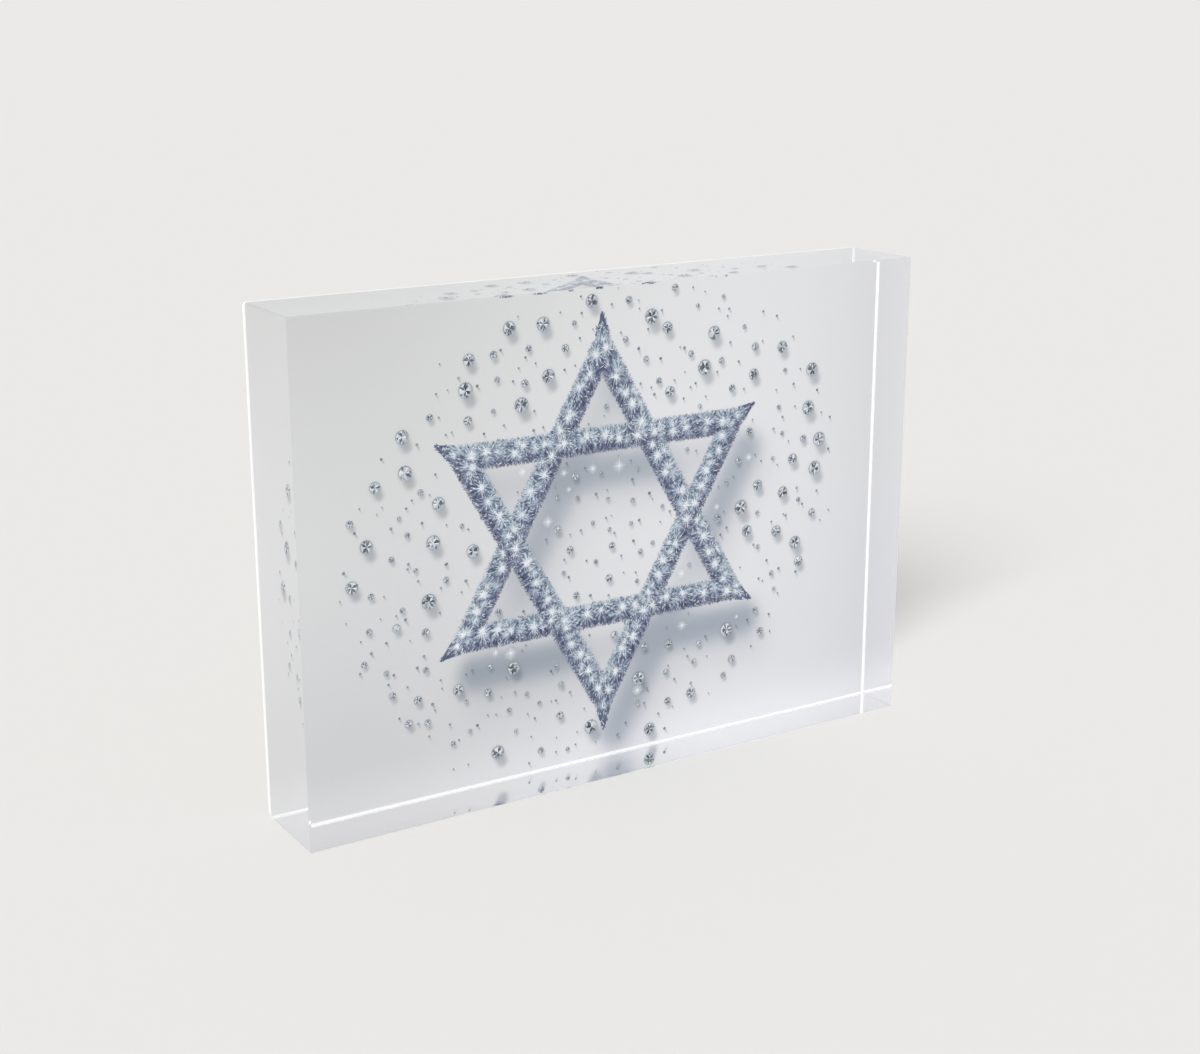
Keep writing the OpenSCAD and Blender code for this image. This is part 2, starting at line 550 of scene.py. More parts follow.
def clear_material(name, look, roughness, clearness):
    """Acrylic that bends what is looked at, and lets lamp light and scattered light straight through,
    so that the print inside it is lit. What isn't clear of it is frosted white."""
    material, tree, shader = new_material(name)
    shader.inputs["Base Color"].default_value = (*look.tint, 1.0)
    shader.inputs["Roughness"].default_value = roughness
    shader.inputs["IOR"].default_value = look.index
    shader.inputs["Transmission Weight"].default_value = clearness
    gap = add_node(tree, "ShaderNodeBsdfTransparent")
    mix_by_ray(
        tree,
        ("Is Shadow Ray", "Is Diffuse Ray"),
        shader.outputs["BSDF"],
        gap.outputs["BSDF"],
        "Material Output",
    )
    return material


def ink_material(name, roughness, grain):
    """Printed ink: the piece's own ink colours, with a fine printing grain over them."""
    material, tree, shader = new_material(name)
    ink = add_node(tree, "ShaderNodeVertexColor", layer_name=INK_COLOUR)
    noise = object_noise(tree, scale=2600.0)
    level = tone_range(tree, noise, 1.0 - grain, 1.0 + grain)
    tree.links.new(ink.outputs["Color"], shade_by(tree, shader, level))
    shader.inputs["Roughness"].default_value = roughness
    shader.inputs["Specular IOR Level"].default_value = 0.05
    return material


def sheet_material(name, base, grain_scale, roughness, uneven=0.08):
    """Matte sheet: its colour with faint clouds, a fine moulded grain and uneven gloss."""
    material, tree, shader = new_material(name)
    clouds = object_noise(tree, scale=45.0)
    level = tone_range(tree, clouds, low=0.94, high=1.04)
    shade_by(tree, shader, level).default_value = (*base, 1.0)
    grain = object_noise(tree, grain_scale)
    gloss = tone_range(tree, grain, roughness - uneven, roughness + uneven)
    tree.links.new(gloss, shader.inputs["Roughness"])
    fine_bump(tree, shader, grain, strength=0.6, distance=0.1 * MM)
    return material


def dress_node(name, material):
    """Gives a CAD node its finish."""
    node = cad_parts[name]
    node.data.materials.clear()
    node.data.materials.append(material)


def cut_corner_rings(insets, cuts, ys):
    """Rings of eight points: the block's front outline drawn in by each inset, with each corner cut
    off at 45 degrees by a leg of that cut, at each depth."""
    side_x = np.array([1, 1, -1, -1, -1, -1, 1, 1])
    side_z = np.array([1, 1, 1, 1, -1, -1, -1, -1])
    cut_x = np.array([0, 1, 1, 0, 0, 1, 1, 0])
    x = side_x * (BLOCK_HIGH.x - insets[:, None] - cuts[:, None] * cut_x)
    z = side_z * (BLOCK_HIGH.z - MIDDLE_Z - insets[:, None] - cuts[:, None] * (1 - cut_x))
    return np.stack([x, np.broadcast_to(ys[:, None], x.shape), z + MIDDLE_Z], -1)


def loft_faces(stations, around):
    """Faces between rings that run from front to back, with a cap on each end."""
    here = np.arange(stations - 1)[:, None] * around + np.arange(around)
    step = np.arange(stations - 1)[:, None] * around + (np.arange(around) + 1) % around
    quads = np.stack([here, here + around, step + around, step], -1).reshape(-1, 4)
    front = list(range(around))
    back = list(range(stations * around - 1, (stations - 1) * around - 1, -1))
    return quads.tolist() + [front, back]


def merge_flat(mesh, nearest):
    """Merges points nearer than that, and faces that lie in one plane."""
    in_plane = math.radians(0.5)
    body = bmesh.new()
    body.from_mesh(mesh)
    bmesh.ops.remove_doubles(body, verts=body.verts, dist=nearest)
    bmesh.ops.dissolve_limit(body, angle_limit=in_plane, verts=body.verts, edges=body.edges)
    body.to_mesh(mesh)
    body.free()
    mesh.update()


class PHOTO_BLOCK_OT_clear_block(Operator):
    """Clear block with its mounting film, one clear body that holds the print"""

    bl_idname = "photo_block.clear_block"
    bl_label = "Clear block"

    def execute(self, context):
        look = context.scene.clear_block_look
        cut = look.chamfer
        front, back = BLOCK_LOW.y, BLOCK_HIGH.y
        trim = BLOCK_HIGH.x - SHEET_HIGH.x
        bond = SHEET_LOW.y + look.bond_depth
        stations = np.array(
            [
                # Inset of the outline, cut of its corners, and depth
                (cut, 0, front),
                (cut / 2, 0, front + cut / 2),
                (0, cut, front + cut),
                (0, cut, back - cut),
                (cut / 2, 0, back - cut / 2),
                (cut, 0, back),
                (trim, 0, back),
                (trim, 0, bond),
            ]
        )
        rings = cut_corner_rings(*stations.T)
        mesh = bpy.data.meshes.new("clear_block")
        mesh.from_pydata(rings.reshape(-1, 3).tolist(), [], loft_faces(*rings.shape[:2]))
        merge_flat(mesh, nearest=cut * 0.01)
        materials = (
            clear_material("polished_acrylic", look, roughness=0.0, clearness=1.0),
            clear_material("ground_back_arris", look, look.arris_roughness, clearness=0.35),
            clear_material("polished_sides", look, roughness=0.0, clearness=1.0 - look.side_haze),
        )
        hang(mesh, materials, "clear_acrylic", ("acrylic_block", "mounting_film"))
        mesh.polygons.foreach_set("material_index", self.finishes(mesh))
        return {"FINISHED"}

    def finishes(self, mesh):
        """Number of each face's finish: the left face is hazy, the chamfers and the bare margin round
        the back are ground, and all else is polished."""
        normals, middles = np.empty((2, 3 * len(mesh.polygons)))
        mesh.polygons.foreach_get("normal", normals)
        mesh.polygons.foreach_get("center", middles)
        right, back, _ = normals.reshape(-1, 3).T
        faces_left = right < -0.9
        faces_back = back > 0.3
        before_bond = middles[1::3] < (BLOCK_HIGH.y + SHEET_LOW.y) / 2
        return np.where(faces_left, HAZY, np.where(faces_back & before_bond, GROUND, POLISHED))


def grid_faces(rows, columns):
    """Quads of a grid whose points run along its columns first, and its rim all the way round."""
    index = np.arange(rows * columns).reshape(rows, columns)
    quads = np.stack([index[:-1, :-1], index[:-1, 1:], index[1:, 1:], index[1:, :-1]], -1)
    rim = np.concatenate([index[0, :-1], index[:-1, -1], index[-1, :0:-1], index[:0:-1, 0]])
    return quads.reshape(-1, 4), rim


def stone_shade(points, middles, d, depth):
    """What the stones' shadows leave of the ground: each is a bell-edged capsule that runs from the
    stone's middle down to the right, and gets fainter as it goes. Its sizes are shares of the stone's
    diameter."""
    trail = np.array([0.32, -0.7])
    half_width = 0.40
    blur = 0.13
    fade = 0.3
    left = np.ones(len(points))
    for middle, across, dark in zip(middles, d, depth):
        off = (points - middle) / across
        run = np.clip(off @ trail / (trail @ trail), 0, 1)
        gap = np.hypot(*(off - run[:, None] * trail).T)
        left *= 1 - dark * (1 - fade * run) * bell_sum((half_width - gap) / blur)
    return left


def star_shade(points, look, band):
    """Cover of the star's soft shadow at each point. Outside the star the bar along the bottom and the
    one down to the right cast it, in the hexagon the ones on the other side, and in the small
    triangles all six, more faintly."""
    down_right = 0.88
    upper_left = 0.9
    outside = (0.0, 0.0, 1.0, down_right, 0.0, 0.0)
    in_points = (look.point_shadow,) * 6
    in_hexagon = (0.0, upper_left * look.inner_shadow, 0.0, 0.0, 0.0, look.inner_shadow)
    shares = np.array([outside, in_points, in_hexagon])[triangles_round(points, band)]
    shift = np.array([look.shadow_right, -look.shadow_down])
    middle = (STAR_REACH - look.shadow_inset) / 2
    core = soft_star(points - shift, shares, middle, look.shadow_band, look.shadow_blur)
    far = points - look.halo_far * shift
    halo = soft_star(far, shares, middle, look.shadow_band, look.halo_blur)
    return 1 - (1 - core) * (1 - look.halo * halo)


def printed_ground(points, scene):
    """Colour of the print at each point: the ground's level, which drifts to the right as a cubic, falls
    off towards the sides, the left corners and downwards, and glows along the lower edge, less the
    star's soft shadow and the stones'."""
    look = scene.print_look
    stones = scene.stone_look
    at = 2 * (points - PRINT_LOW) / (PRINT_HIGH - PRINT_LOW) - 1
    x, z = at.T
    fall = look.fall_aside * x**2 + look.fall_left * z**2 * (1 - x) ** 2 / 4
    fall = fall + look.fall_down * np.maximum(-z, 0)
    glow = look.low_glow * np.exp(-(((points[:, 1] - PRINT_LOW[1]) / look.low_glow_reach) ** 2))
    level = 1 + look.drift * (x - x**3) - fall + glow
    cover = star_shade(points, look, scene.star_look.band)
    middles, d, _ = stone_layout(scene)
    chip_share = 0.75
    depth = look.stone_shadow * np.interp(d, (stones.chip_d, stones.stone_d), (chip_share, 1.0))
    shade = stone_shade(points, middles, d, depth)[:, None] ** np.array(look.stone_shadow_lean)
    tint = shade * np.array(look.ground) * (1 + np.outer(look.cool * (x - z), (0, 0, 1)))
    return level[:, None] * tint * (1 - cover[:, None] * (1 - np.array(look.shadow)))


class PHOTO_BLOCK_OT_print_sheet(Operator):
    """Print sheet, whose front carries the pale ground and the soft printed shadows"""

    bl_idname = "photo_block.print_sheet"
    bl_label = "Print sheet"

    def execute(self, context):
        look = context.scene.print_look
        columns, rows = np.ceil((PRINT_HIGH - PRINT_LOW) / look.grid_step).astype(int) + 1
        x, z = np.meshgrid(
            np.linspace(PRINT_LOW[0], PRINT_HIGH[0], columns),
            np.linspace(PRINT_LOW[1], PRINT_HIGH[1], rows),
        )
        points = np.stack([x.ravel(), z.ravel()], 1)
        front, rim = grid_faces(rows, columns)
        behind = len(points) + np.arange(len(rim))
        walls = np.stack([rim, behind, np.roll(behind, -1), np.roll(rim, -1)], 1)
        bare = np.tile(np.array(look.back_white), (len(rim), 1))
        add_inked(
            "print_picture",
            np.concatenate([standing(points, SHEET_LOW.y), standing(points[rim], SHEET_HIGH.y)]),
            front.tolist() + walls.tolist() + [behind[::-1].tolist()],
            np.concatenate([printed_ground(points, context.scene), bare]),
            ink_material("satin_print", roughness=0.45, grain=0.012),
            "print_white",
            ("print_sheet",),
        )
        return {"FINISHED"}


def roofs(middles, turns, inner, widest, outer, half_width, lift, values):
    """Thin four-sided roofs in the picture plane: their places, triangles and ink values. Each starts
    at inner along its turn, is widest and highest at widest, and ends in a point at outer. A length is
    one for all or one each. Values are given for its tail, a flank, its head, the other flank and its
    ridge."""
    inner, widest, outer, half_width, lift = (
        np.broadcast_to(size, len(turns))[:, None]
        for size in (inner, widest, outer, half_width, lift)
    )
    along = pointing(turns)
    ridge = middles + along * widest
    flank = quarter_turned(along) * half_width
    tail = middles + along * inner
    head = middles + along * outer
    corners = np.stack([tail, ridge - flank, head, ridge + flank, ridge], 1)
    y = STAR_LOW.y - lift - RIDGE_HEIGHT * (np.arange(ROOF_POINTS) == RIDGE)
    one = np.array([[0, 1, 4], [1, 2, 4], [2, 3, 4], [3, 0, 4], [0, 3, 2], [0, 2, 1]])
    faces = np.arange(len(turns))[:, None, None] * ROOF_POINTS + one
    return standing(corners, y).reshape(-1, 3), faces.reshape(-1, 3), values


def toned(tone):
    """Tones of a roof's tail, flank, head, other flank and ridge round its own tone."""
    steps = np.array([-0.06, 0.0, 0.05, 0.0, 0.08])
    return np.clip(tone[:, None] + steps, 0, 1).ravel()


def gems(middles, radii, turns, around, lift, values, table=0.8):
    """Low round gems that stand on the sheet: their places, triangles and ink values. Each has a middle
    point and an inner ring, at that share of its radius, in front of the ink, and an outer ring on
    the sheet."""
    ring = pointing(turns[:, None] + np.arange(around) * 2 * np.pi / around)
    inset = ring * np.reshape(table, (-1, 1, 1))
    unit = np.concatenate([np.zeros((len(radii), 1, 2)), inset, ring], 1)
    y = np.where(np.arange(2 * around + 1) > around, STAR_HIGH.y, STAR_LOW.y - lift)
    i = np.arange(around)
    inner, outer = 1 + i, 1 + around + i
    inner_next, outer_next = np.roll(inner, -1), np.roll(outer, -1)
    one = np.concatenate(
        [
            np.stack([0 * i, inner, inner_next], 1),
            np.stack([inner, outer, outer_next], 1),
            np.stack([inner, outer_next, inner_next], 1),
            np.stack([np.full(around - 2, outer[0]), outer[2:], outer[1:-1]], 1),
        ]
    )
    faces = np.arange(len(radii))[:, None, None] * (2 * around + 1) + one
    places = standing(middles[:, None] + unit * radii[:, None, None], y)
    return places.reshape(-1, 3), faces.reshape(-1, 3), values


def joined(patches):
    """Places, triangles and ink values of several patches as one."""
    starts = np.cumsum([0] + [len(places) for places, _, _ in patches[:-1]])
    places = np.concatenate([patch[0] for patch in patches])
    faces = np.concatenate([patch[1] + start for patch, start in zip(patches, starts)])
    values = np.concatenate([patch[2] for patch in patches])
    return places, faces.tolist(), values


def within_star(middles, turns, reach, overhang, band):
    """Shortens each reach, in a few steps, until its end lies no farther past the star's edge than its
    overhang, but not below a least reach."""
    steps = 6
    least = 0.25 * MM
    along = pointing(turns)
    for _ in range(steps):
        past = past_star(middles + along * reach[:, None], band) - overhang
        reach = np.maximum(reach - np.maximum(past, 0), least)
    return reach


def on_band(side, along, across, band):
    """Points of the star's six sides, the upright triangle's three first. Along runs from -1 to 1
    between a side's mitres, and across from -1 at its upper edge to 1 at its lower edge."""
    outward = pointing(STAR_SIDES[side])
    run = quarter_turned(outward)
    low = -np.sign(outward[..., 1])
    out = (STAR_REACH - band) / 2 + low * across * band / 2
    return outward * out[..., None] + run * (HALF_SIDE * low * along * out)[..., None]


def downhill(side):
    """Turn of the direction across each side of the star from its upper to its lower edge."""
    sides = STAR_SIDES[side]
    return sides + np.pi * (np.sin(sides) > 0)


def strip_faces(steps, rows):
    """Triangles of one strip whose front is a grid, with the two long edges again on the sheet behind
    it: the front, the back, two long walls and two fans at the ends."""
    grid = np.arange(steps * rows).reshape(steps, rows)
    first = steps * rows + np.arange(steps)
    last = first + steps
    rails = (
        (grid[:-1, :-1], grid[:-1, 1:], grid[1:, 1:], grid[1:, :-1]),
        (first[:-1], first[1:], last[1:], last[:-1]),
        (grid[:-1, 0], grid[1:, 0], first[1:], first[:-1]),
        (grid[:-1, -1], last[:-1], last[1:], grid[1:, -1]),
    )
    quads = np.concatenate([np.stack(rail, -1).reshape(-1, 4) for rail in rails])
    patches = [quads[:, (0, 1, 2)], quads[:, (0, 2, 3)]]
    for end, corner, other in ((0, first[0], last[0]), (-1, first[-1], last[-1])):
        rim = np.append(grid[end], other)
        fan = np.stack([np.full(rows, corner), rim[1:], rim[:-1]], 1)
        patches.append(fan if end == 0 else fan[:, ::-1])
    return np.concatenate(patches)


class PHOTO_BLOCK_OT_star(Operator):
    """Printed star: bursts of crystals and white sparkles, with pale upper and navy lower edges"""

    bl_idname = "photo_block.star"
    bl_label = "Star"

    def execute(self, context):
        look = context.scene.star_look
        draw = np.random.default_rng(seed=11)
        sparkles = self.strewn(look.sparkles, look, draw, stray=0.2, heights=(-0.4, 0.2))
        domes = self.strewn(look.domes, look, draw, stray=0.4, heights=(-0.75, 0.5))
        bursts = self.bursts(look, draw, sparkles, domes)
        patches = [
            *self.strips(look, draw, bursts),
            self.shards(look, draw, sparkles),
            *self.edges(look, draw),
            *self.tips(look, draw),
            *self.sparkles(look, draw, sparkles),
        ]
        add_inked(
            "star_crystals",
            *joined(patches),
            ink_material("crystal_ink", roughness=0.4, grain=0.03),
            "star_print",
            ("star_ink",),
        )
        return {"FINISHED"}

    def strewn(self, number, look, draw, stray, heights):
        """That many places along each of the six sides, evenly but for a stray, between two heights."""
        along = np.tile(np.arange(number), 6) + 0.5 + draw.uniform(-stray, stray, 6 * number)
        across = draw.uniform(*heights, 6 * number)
        return on_band(np.repeat(np.arange(6), number), 2 * along / number - 1, across, look.band)

    def inked(self, look, tone, across=0.0):
        """Ink colours for tones from 0 to 1, greener at a band's upper edge and more violet at its
        lower one."""
        tone = np.clip(tone, 0, 1)
        lean = (np.clip(across, -1, 1) * (1 - tone))[..., None] * np.array(look.lean)
        return blend_inks(tone, (look.navy, look.slate, look.pale, look.white)) * (1 + lean)

    def facet_inks(self, look, tone, across=0.0):
        """Ink colours of facets, by the tone and the place across the band of each."""
        across = np.repeat(np.broadcast_to(across, tone.shape), ROOF_POINTS)
        return self.inked(look, toned(tone), across)

    def bursts(self, look, draw, sparkles, domes):
        """Middles of the bursts, with the brightness and radius of their glow, and the number and turn
        of their rays. Sparkles and the one in each of the star's points are bright, and domes faint."""
        faint_glow, bright_glow = 0.36, 0.55
        faint_r, bright_r = 1.0 * MM, 1.1 * MM
        fewest_rays, most_rays = 9, 15
        in_points = pointing(POINT_TURNS) * (STAR_REACH - look.point_glow)
        middles = np.concatenate([sparkles, in_points, domes])
        number = len(middles)
        dome = np.arange(number) >= number - len(domes)
        bright = np.where(dome, faint_glow, bright_glow) * draw.uniform(0.6, 1.15, number)
        glow_r = np.where(dome, faint_r, bright_r)
        rays = draw.integers(fewest_rays, most_rays + 1, number)
        phase = draw.uniform(0, 2 * np.pi, number)
        return middles, bright, glow_r, rays, phase

    def burst_tone(self, points, across, bursts, draw):
        """Tone of the crystals. Each point belongs to the nearest burst. From its middle a glow falls
        off as a bell curve, and past that the tone swings with the angle, as rays do. The border to
        the next one is dark, and so are the lower edge and the star's six points."""
        heights = (-1, -0.4, 0.0, 0.3, 0.6, 1)
        height_tones = (0.6, 0.48, 0.46, 0.38, 0.29, 0.3)
        ray_depth, ray_sway = 0.22, 1.3
        ray_start, ray_rise = 0.4 * MM, 0.7 * MM
        border_depth, border_width = 0.26, 0.5 * MM
        point_depth, point_run = 0.3, 3.5 * MM
        grain = 0.12
        middles, bright, glow_r, rays, phase = bursts
        apart = distances(points, middles)
        own = apart.argmin(1)
        r, next_r = np.partition(apart, 1, axis=1)[:, :2].T
        turn = turn_of(points - middles[own])
        swing = np.cos(rays[own] * turn + phase[own] + ray_sway * np.sin(2 * turn + phase[own]))
        tone = np.interp(across, heights, height_tones)
        tone = tone + bright[own] * np.exp(-((r / glow_r[own]) ** 2))
        tone = tone + ray_depth * swing * np.clip((r - ray_start) / ray_rise, 0, 1)
        tone = tone - border_depth * np.exp(-(((next_r - r) / border_width) ** 2))
        to_point = np.clip((np.hypot(*points.T) - STAR_REACH) / point_run + 1, 0, 1)
        return tone - point_depth * to_point**2 + draw.normal(0, grain, len(points))

    def strips(self, look, draw, bursts):
        """Six strips, one a side: a grid that carries the bursts, whose two long edges stray inwards.
        Those of the second triangle lie a hair in front."""
        stray = 0.32
        hair = 0.002 * MM
        steps = int(side_length(look.band) / look.grid_step) + 1
        rows = int(look.band / look.grid_step) + 1
        faces = strip_faces(steps, rows)
        along = np.linspace(-1, 1, steps)[:, None]
        for side in range(6):
            across = np.linspace(-1, 1, rows) * (1 + draw.uniform(-stray, 0.0, (steps, 1)))
            points = on_band(np.full(across.shape, side), along, across, look.band)
            y = STAR_LOW.y - hair * (side >= 3)
            rim = points[:, (0, -1)].transpose(1, 0, 2).reshape(-1, 2)
            flat = points.reshape(-1, 2)
            tone = self.burst_tone(flat, across.ravel(), bursts, draw)
            values = self.inked(look, tone, across.ravel())
            bare = np.tile(np.array(look.slate), (2 * steps, 1))
            yield (
                np.concatenate([standing(flat, y), standing(rim, STAR_HIGH.y)]),
                faces,
                np.concatenate([values, bare]),
            )

    def shards(self, look, draw, sparkles):
        """Thin facets all over the bands, which point away from the nearest sparkle. The lower they lie
        in the band, the more of them are dark."""
        number = look.shards
        across = draw.uniform(-1, 1, number)
        side = draw.integers(0, 6, number)
        middles = on_band(side, draw.uniform(-1, 1, number), across, look.band)
        nearest = distances(middles, sparkles).argmin(1)
        sway = draw.normal(0, 0.25, number)
        turns = turn_of(middles - sparkles[nearest]) + sway
        reach = lengths(draw, (0.5, 1.2), number)
        overhang = lengths(draw, (-0.1, 0.3), number)
        reach = within_star(middles, turns, reach, overhang, look.band)
        dark_share = np.interp(across, (0, 0.45, 0.8), (0.36, 0.58, 0.75))
        dark = draw.uniform(0, 1, number) < dark_share
        dark_tone = draw.uniform(0.0, 0.28, number)
        light_tone = draw.uniform(0.55, 0.9, number)
        return roofs(
            middles,
            turns,
            inner=-lengths(draw, (0.2, 0.5), number),
            widest=WIDEST_AT * reach,
            outer=reach,
            half_width=lengths(draw, (0.07, 0.16), number),
            lift=lengths(draw, (0.004, 0.016), number),
            values=self.facet_inks(look, np.where(dark, dark_tone, light_tone), across),
        )

    def edges(self, look, draw):
        """Spines across both edges of every band, slate to pale on the upper one and navy to slate on
        the lower."""
        a_side = int(side_length(look.band) / look.edge_step)
        side = np.repeat(np.arange(6), a_side)
        number = len(side)
        root_at = 0.84
        upper = (-1, (0.3, 0.85))
        lower = (1, (0.0, 0.56))
        for edge, tones in (upper, lower):
            stray = draw.normal(0, 0.5 / a_side, number)
            along = np.tile(np.linspace(-1, 1, a_side), 6) + stray
            middles = on_band(side, along, np.full(number, root_at * edge), look.band)
            sway = draw.normal(0, 0.6, number)
            turns = downhill(side) + np.pi * (edge < 0) + sway
            reach = lengths(draw, (0.4, 1.3), number)
            overhang = lengths(draw, (-0.1, 0.65), number)
            reach = within_star(middles, turns, reach, overhang, look.band)
            tone = draw.uniform(*tones, number)
            yield roofs(
                middles,
                turns,
                inner=-lengths(draw, (0.3, 0.8), number),
                widest=WIDEST_AT * reach,
                outer=reach,
                half_width=lengths(draw, (0.05, 0.13), number),
                lift=lengths(draw, (0.006, 0.018), number),
                values=self.facet_inks(look, tone, edge),
            )

    def tips(self, look, draw):
        """The star's six points: a dark wedge each, behind the strips, which runs a little past its
        point, most at the top and the bottom, and short facets over it that point outwards."""
        outward = pointing(POINT_TURNS)
        at_sides, at_ends = 1.6, 2.5
        past = np.array((at_sides, at_ends, at_sides) * 2) * MM
        wedge_tones = (0.3, 0.26, 0.1, 0.26, 0.24)
        yield roofs(
            outward * STAR_REACH,
            POINT_TURNS,
            inner=-6.0 * MM,
            widest=-3.4 * MM,
            outer=past,
            half_width=2.15 * MM,
            lift=-0.012 * MM,
            values=self.inked(look, np.tile(wedge_tones, 6)),
        )
        a_point = 34
        which = np.repeat(np.arange(6), a_point)
        number = len(which)
        back = lengths(draw, (0.2, 5.5), number)
        aside = draw.uniform(-0.45, 0.45, number) * back
        out = STAR_REACH + past[which] - back
        sideways = quarter_turned(outward)
        middles = outward[which] * out[:, None] + sideways[which] * aside[:, None]
        reach = np.minimum(lengths(draw, (0.5, 1.3), number), back)
        dark_share = np.interp(back, (2 * MM, 4 * MM), (0.9, 0.4))
        dark = draw.uniform(0, 1, number) < dark_share
        dark_tone, light_tone = 0.06, 0.6
        tone = np.where(dark, dark_tone, light_tone) + draw.uniform(0, 0.2, number)
        sway = draw.normal(0, 0.5, number)
        yield roofs(
            middles,
            POINT_TURNS[which] + sway,
            inner=-0.3 * reach,
            widest=WIDEST_AT * reach,
            outer=reach,
            half_width=lengths(draw, (0.1, 0.22), number),
            lift=lengths(draw, (0.012, 0.018), number),
            values=self.facet_inks(look, tone),
        )

    def sparkles(self, look, draw, middles):
        """White sparkles: a small bright core with fine tapered rays of uneven length."""
        around = 8
        number = len(middles)
        bright = draw.uniform(0, 1, number)
        core = (0.34 + 0.42 * bright) * MM
        rim_tone = 0.78
        tone = np.ones((number, 2 * around + 1))
        tone[:, around + 1 :] = rim_tone
        turns = draw.uniform(0, 2 * np.pi, number)
        values = self.inked(look, tone.ravel())
        yield gems(middles, core, turns, around, lift=0.019 * MM, values=values)
        spokes = 16
        which = np.repeat(np.arange(number), spokes)
        total = len(which)
        sway = draw.normal(0, 0.12, total)
        turns = np.tile(np.arange(spokes) * 2 * np.pi / spokes, number) + turns[which] + sway
        reach = (1.4 + 1.6 * bright[which]) * draw.uniform(0.5, 1.2, total) * MM
        overhang = lengths(draw, (-0.1, 0.4), total)
        reach = within_star(middles[which], turns, reach, overhang, look.band)
        tone = draw.uniform(0.72, 1.0, total)
        yield roofs(
            middles[which],
            turns,
            inner=0.1 * core[which],
            widest=np.minimum(0.6 * core[which], 0.5 * reach),
            outer=reach,
            half_width=lengths(draw, (0.06, 0.12), total),
            lift=lengths(draw, (0.02, 0.024), total),
            values=self.facet_inks(look, tone),
        )


class StoneFacets(NamedTuple):
    """One layer of facets on every stone: how many there are, the turn of the first, the shares of the
    radius where they start, are widest and end, their half width as such a share, their darkest and
    lightest tone, and the share of them left out."""

    spokes: int
    first: float
    inner: float
    widest: float
    outer: float
    half_width: float
    darkest: float
    lightest: float
    left_out: float


# Grey facets all round, light ones, crossed dark ones, and short dark ones along the rim
STONE_LAYERS = (
    StoneFacets(8, 0.39, 0.15, 0.55, 0.92, 0.20, 0.3, 0.68, 0.3),
    StoneFacets(4, 0.785, 0.10, 0.50, 0.80, 0.16, 0.85, 1.0, 0.25),
    StoneFacets(5, 0.0, 0.00, 0.50, 0.92, 0.19, 0.0, 0.2, 0.2),
    StoneFacets(8, 0.2, 0.55, 0.78, 0.97, 0.14, 0.05, 0.4, 0.4),
)


class PHOTO_BLOCK_OT_stones(Operator):
    """Strewn stones, each a pale round gem with a grey rim and crossed dark facets"""

    bl_idname = "photo_block.stones"
    bl_label = "Stones"

    def execute(self, context):
        scene = context.scene
        look = scene.stone_look
        middles, d, place = stone_layout(scene)
        draw = np.random.default_rng(seed=23)
        turns = 2 * np.pi * repeatable(place, 5)
        large = np.interp(d, (look.chip_d, look.stone_d), (0.0, 1.0))
        patches = [
            self.bodies(middles, d / 2, turns, large, draw),
            *self.facets(middles, d / 2, large, draw),
        ]
        places, faces, tone = joined(patches)
        add_inked(
            "stone_facets",
            places,
            faces,
            blend_inks(tone, (look.dark, look.grey, look.light)),
            ink_material("facet_ink", roughness=0.4, grain=0.03),
            "stone_print",
            ("stone_ink",),
        )
        return {"FINISHED"}

    def bodies(self, middles, radii, turns, large, draw):
        """Pale bodies, whose rims are dark towards the upper left and fade into the shadow below."""
        around = 16
        number = len(radii)
        upper_left = math.radians(120)
        table_fade, rim_fade = 0.25, 0.46
        chip_rim, stone_rim = 0.25, 0.16
        chip_table, stone_table = 0.62, 0.8
        spots = turns[:, None] + np.arange(around) * 2 * np.pi / around
        away = (1 - np.cos(spots - upper_left)) / 2
        tone = np.empty((number, 2 * around + 1))
        tone[:, 0] = draw.uniform(0.75, 0.92, number)
        tone[:, 1 : around + 1] = draw.uniform(0.78, 0.98, (number, around)) - table_fade * away
        rim = np.interp(large, (0, 1), (chip_rim, stone_rim))[:, None] + rim_fade * away
        tone[:, around + 1 :] = rim + draw.normal(0, 0.08, (number, around))
        table = np.interp(large, (0, 1), (chip_table, stone_table))
        tone = np.clip(tone, 0, 1).ravel()
        return gems(middles, radii, turns, around, lift=0.004 * MM, values=tone, table=table)

    def facets(self, middles, radii, large, draw):
        """Grey facets all round, light ones and crossed dark ones over them, and short dark ones along
        the rim. On chips their tones are drawn in towards a pale one."""
        number = len(radii)
        cross = math.radians(38)
        first = cross + draw.normal(0, 0.35, number)
        chip_contrast = 0.8
        pale = 0.7
        lowest, layer_step = 0.006, 0.003
        for step, layer in enumerate(STONE_LAYERS):
            which = np.repeat(np.arange(number), layer.spokes)
            spokes = np.arange(layer.spokes) * 2 * np.pi / layer.spokes + layer.first
            turns = np.tile(spokes, number) + first[which]
            turns = turns + draw.normal(0, 0.3, len(which))
            kept = draw.uniform(0, 1, len(which)) > layer.left_out
            which, turns = which[kept], turns[kept]
            total = len(which)
            r = radii[which]
            tone = draw.uniform(layer.darkest, layer.lightest, total)
            tone = np.interp(large[which], (0, 1), (chip_contrast, 1)) * (tone - pale) + pale
            yield roofs(
                middles[which],
                turns,
                inner=layer.inner * r,
                widest=layer.widest * r,
                outer=draw.uniform(0.7, 1.15, total) * layer.outer * r,
                half_width=draw.uniform(0.5, 1.5, total) * layer.half_width * r,
                lift=(lowest + layer_step * step) * MM + lengths(draw, (0, 0.002), total),
                values=toned(tone),
            )


